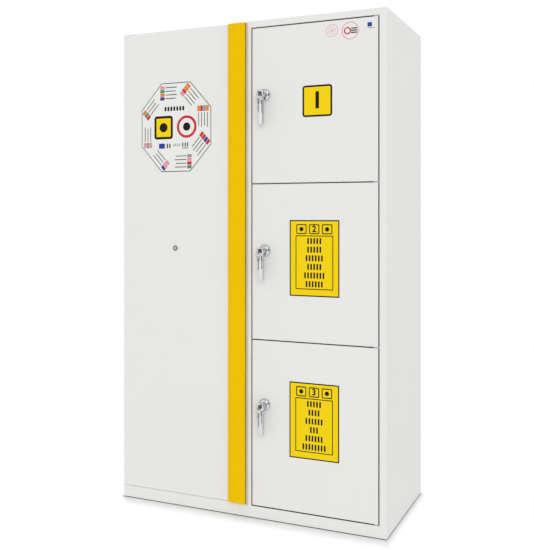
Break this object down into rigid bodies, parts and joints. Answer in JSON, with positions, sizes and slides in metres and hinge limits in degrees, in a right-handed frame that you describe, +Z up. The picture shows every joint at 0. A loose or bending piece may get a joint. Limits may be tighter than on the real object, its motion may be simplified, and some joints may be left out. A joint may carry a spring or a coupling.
{
  "type": "combination chemical safety cabinet",
  "caption": "Tall steel chemical cabinet: a fire-rated section behind a thick flush door with a grip strip, and three stacked lockable compartments with L-handles.",
  "frame": {"origin": "on the floor under the middle of the cabinet, counted over its depth with the hanging keys", "axes": "+X to the viewer's right, +Y from the doors to the back, +Z up"},
  "size_m": [1.14, 0.616, 2.02],
  "materials": {
    "white_powder_coat": "satin",
    "grey_powder_coat": "satin",
    "yellow_powder_coat": "satin",
    "zinc_plated_steel": "satin",
    "polished_chrome": "polished",
    "nickel_plated_brass": "satin",
    "insulating_board": "matte",
    "laminated_board": "satin",
    "intumescent_graphite": "matte",
    "seal_rubber": "matte",
    "white_polypropylene": "matte",
    "foot_plastic": "matte"
  },
  "bodies": {
    "casing": {"side_panel_left": "white_powder_coat", "side_panel_right": "white_powder_coat", "centre_stile": "white_powder_coat", "roof_panel": "white_powder_coat", "plinth_panel": "white_powder_coat", "floor_panel": "white_powder_coat", "back_panel": "white_powder_coat", "partition_panel": "white_powder_coat", "insulation_boards": "insulating_board", "lining_boards": "laminated_board", "front_collar": "white_powder_coat", "intumescent_strip": "intumescent_graphite", "shelf_uprights": "grey_powder_coat", "shelf_clips": "zinc_plated_steel", "fire_shelves": "grey_powder_coat", "sump_tray": "grey_powder_coat", "sump_grid": "grey_powder_coat", "fire_hinge_plates": "zinc_plated_steel", "door_stop_frame": "grey_powder_coat", "compartment_dividers": "grey_powder_coat", "shelf_rails": "zinc_plated_steel", "compartment_shelves": "grey_powder_coat", "spill_trays": "white_polypropylene", "vent_duct": "grey_powder_coat", "door_pivot_plates": "zinc_plated_steel", "exhaust_spigots": "grey_powder_coat", "levelling_feet": "foot_plastic"},
    "fire_door": {"fire_door_skin": "white_powder_coat", "fire_door_core": "insulating_board", "fire_door_liner": "white_powder_coat", "fire_door_bushes": "nickel_plated_brass", "fire_door_grip_strip": "yellow_powder_coat", "fire_door_gasket": "seal_rubber", "fire_lock_case": "polished_chrome"},
    "fire_lock": {"fire_lock_plug": "polished_chrome"},
    "fire_bolt": {"fire_lock_bolt": "zinc_plated_steel"},
    "door_lower": {"door_lower": "white_powder_coat", "door_liner_lower": "white_powder_coat", "door_seal_lower": "seal_rubber", "rosette_lower": "polished_chrome"},
    "handle_lower": {"lever_lower": "polished_chrome", "cam_lower": "zinc_plated_steel"},
    "key_lower": {"key_lower": "nickel_plated_brass"},
    "spare_key_lower": {"spare_key_lower": "nickel_plated_brass"},
    "door_middle": {"door_middle": "white_powder_coat", "door_liner_middle": "white_powder_coat", "door_seal_middle": "seal_rubber", "rosette_middle": "polished_chrome"},
    "handle_middle": {"lever_middle": "polished_chrome", "cam_middle": "zinc_plated_steel"},
    "key_middle": {"key_middle": "nickel_plated_brass"},
    "spare_key_middle": {"spare_key_middle": "nickel_plated_brass"},
    "door_upper": {"door_upper": "white_powder_coat", "door_liner_upper": "white_powder_coat", "door_seal_upper": "seal_rubber", "rosette_upper": "polished_chrome"},
    "handle_upper": {"lever_upper": "polished_chrome", "cam_upper": "zinc_plated_steel"},
    "key_upper": {"key_upper": "nickel_plated_brass"},
    "spare_key_upper": {"spare_key_upper": "nickel_plated_brass"}
  },
  "joints": [
    {"name": "fire_door_hinge", "type": "hinge", "parent": "casing", "child": "fire_door", "pos_m": [-0.558, -0.202, 0.051], "axis": [0, 0, -1], "range_deg": [0, 110]},
    {"name": "fire_lock_turn", "type": "hinge", "parent": "fire_door", "child": "fire_lock", "pos_m": [-0.319, -0.237, 1.053], "axis": [0, 1, 0], "range_deg": [0, 90.5]},
    {"name": "fire_bolt_slide", "type": "slide", "parent": "fire_door", "child": "fire_bolt", "axis": [1, 0, 0], "range_m": [0, 0.012]},
    {"name": "door_hinge_lower", "type": "hinge", "parent": "casing", "child": "door_lower", "pos_m": [0.53, -0.232, 0.051], "axis": [0, 0, 1], "range_deg": [0, 110]},
    {"name": "handle_turn_lower", "type": "hinge", "parent": "door_lower", "child": "handle_lower", "pos_m": [0.082, -0.237, 0.45], "axis": [0, -1, 0], "range_deg": [0, 90]},
    {"name": "key_turn_lower", "type": "hinge", "parent": "handle_lower", "child": "key_lower", "pos_m": [0.082, -0.284, 0.45], "axis": [0, -1, 0], "range_deg": [0, 90]},
    {"name": "spare_key_swing_lower", "type": "hinge", "parent": "key_lower", "child": "spare_key_lower", "pos_m": [0.082, -0.297, 0.4367], "axis": [0, -1, 0], "range_deg": [-90, 90]},
    {"name": "door_hinge_middle", "type": "hinge", "parent": "casing", "child": "door_middle", "pos_m": [0.53, -0.232, 0.703], "axis": [0, 0, 1], "range_deg": [0, 110]},
    {"name": "handle_turn_middle", "type": "hinge", "parent": "door_middle", "child": "handle_middle", "pos_m": [0.082, -0.237, 1.05], "axis": [0, -1, 0], "range_deg": [0, 90]},
    {"name": "key_turn_middle", "type": "hinge", "parent": "handle_middle", "child": "key_middle", "pos_m": [0.082, -0.284, 1.05], "axis": [0, -1, 0], "range_deg": [0, 90]},
    {"name": "spare_key_swing_middle", "type": "hinge", "parent": "key_middle", "child": "spare_key_middle", "pos_m": [0.082, -0.297, 1.0367], "axis": [0, -1, 0], "range_deg": [-90, 90]},
    {"name": "door_hinge_upper", "type": "hinge", "parent": "casing", "child": "door_upper", "pos_m": [0.53, -0.232, 1.313], "axis": [0, 0, 1], "range_deg": [0, 110]},
    {"name": "handle_turn_upper", "type": "hinge", "parent": "door_upper", "child": "handle_upper", "pos_m": [0.082, -0.237, 1.656], "axis": [0, -1, 0], "range_deg": [0, 90]},
    {"name": "key_turn_upper", "type": "hinge", "parent": "handle_upper", "child": "key_upper", "pos_m": [0.082, -0.284, 1.656], "axis": [0, -1, 0], "range_deg": [0, 90]},
    {"name": "spare_key_swing_upper", "type": "hinge", "parent": "key_upper", "child": "spare_key_upper", "pos_m": [0.082, -0.297, 1.6427], "axis": [0, -1, 0], "range_deg": [-90, 90]}
  ],
  "couplings": [
    {"joint": "fire_lock_turn", "follows": "fire_bolt_slide", "rad_per_m": 130.9}
  ]
}
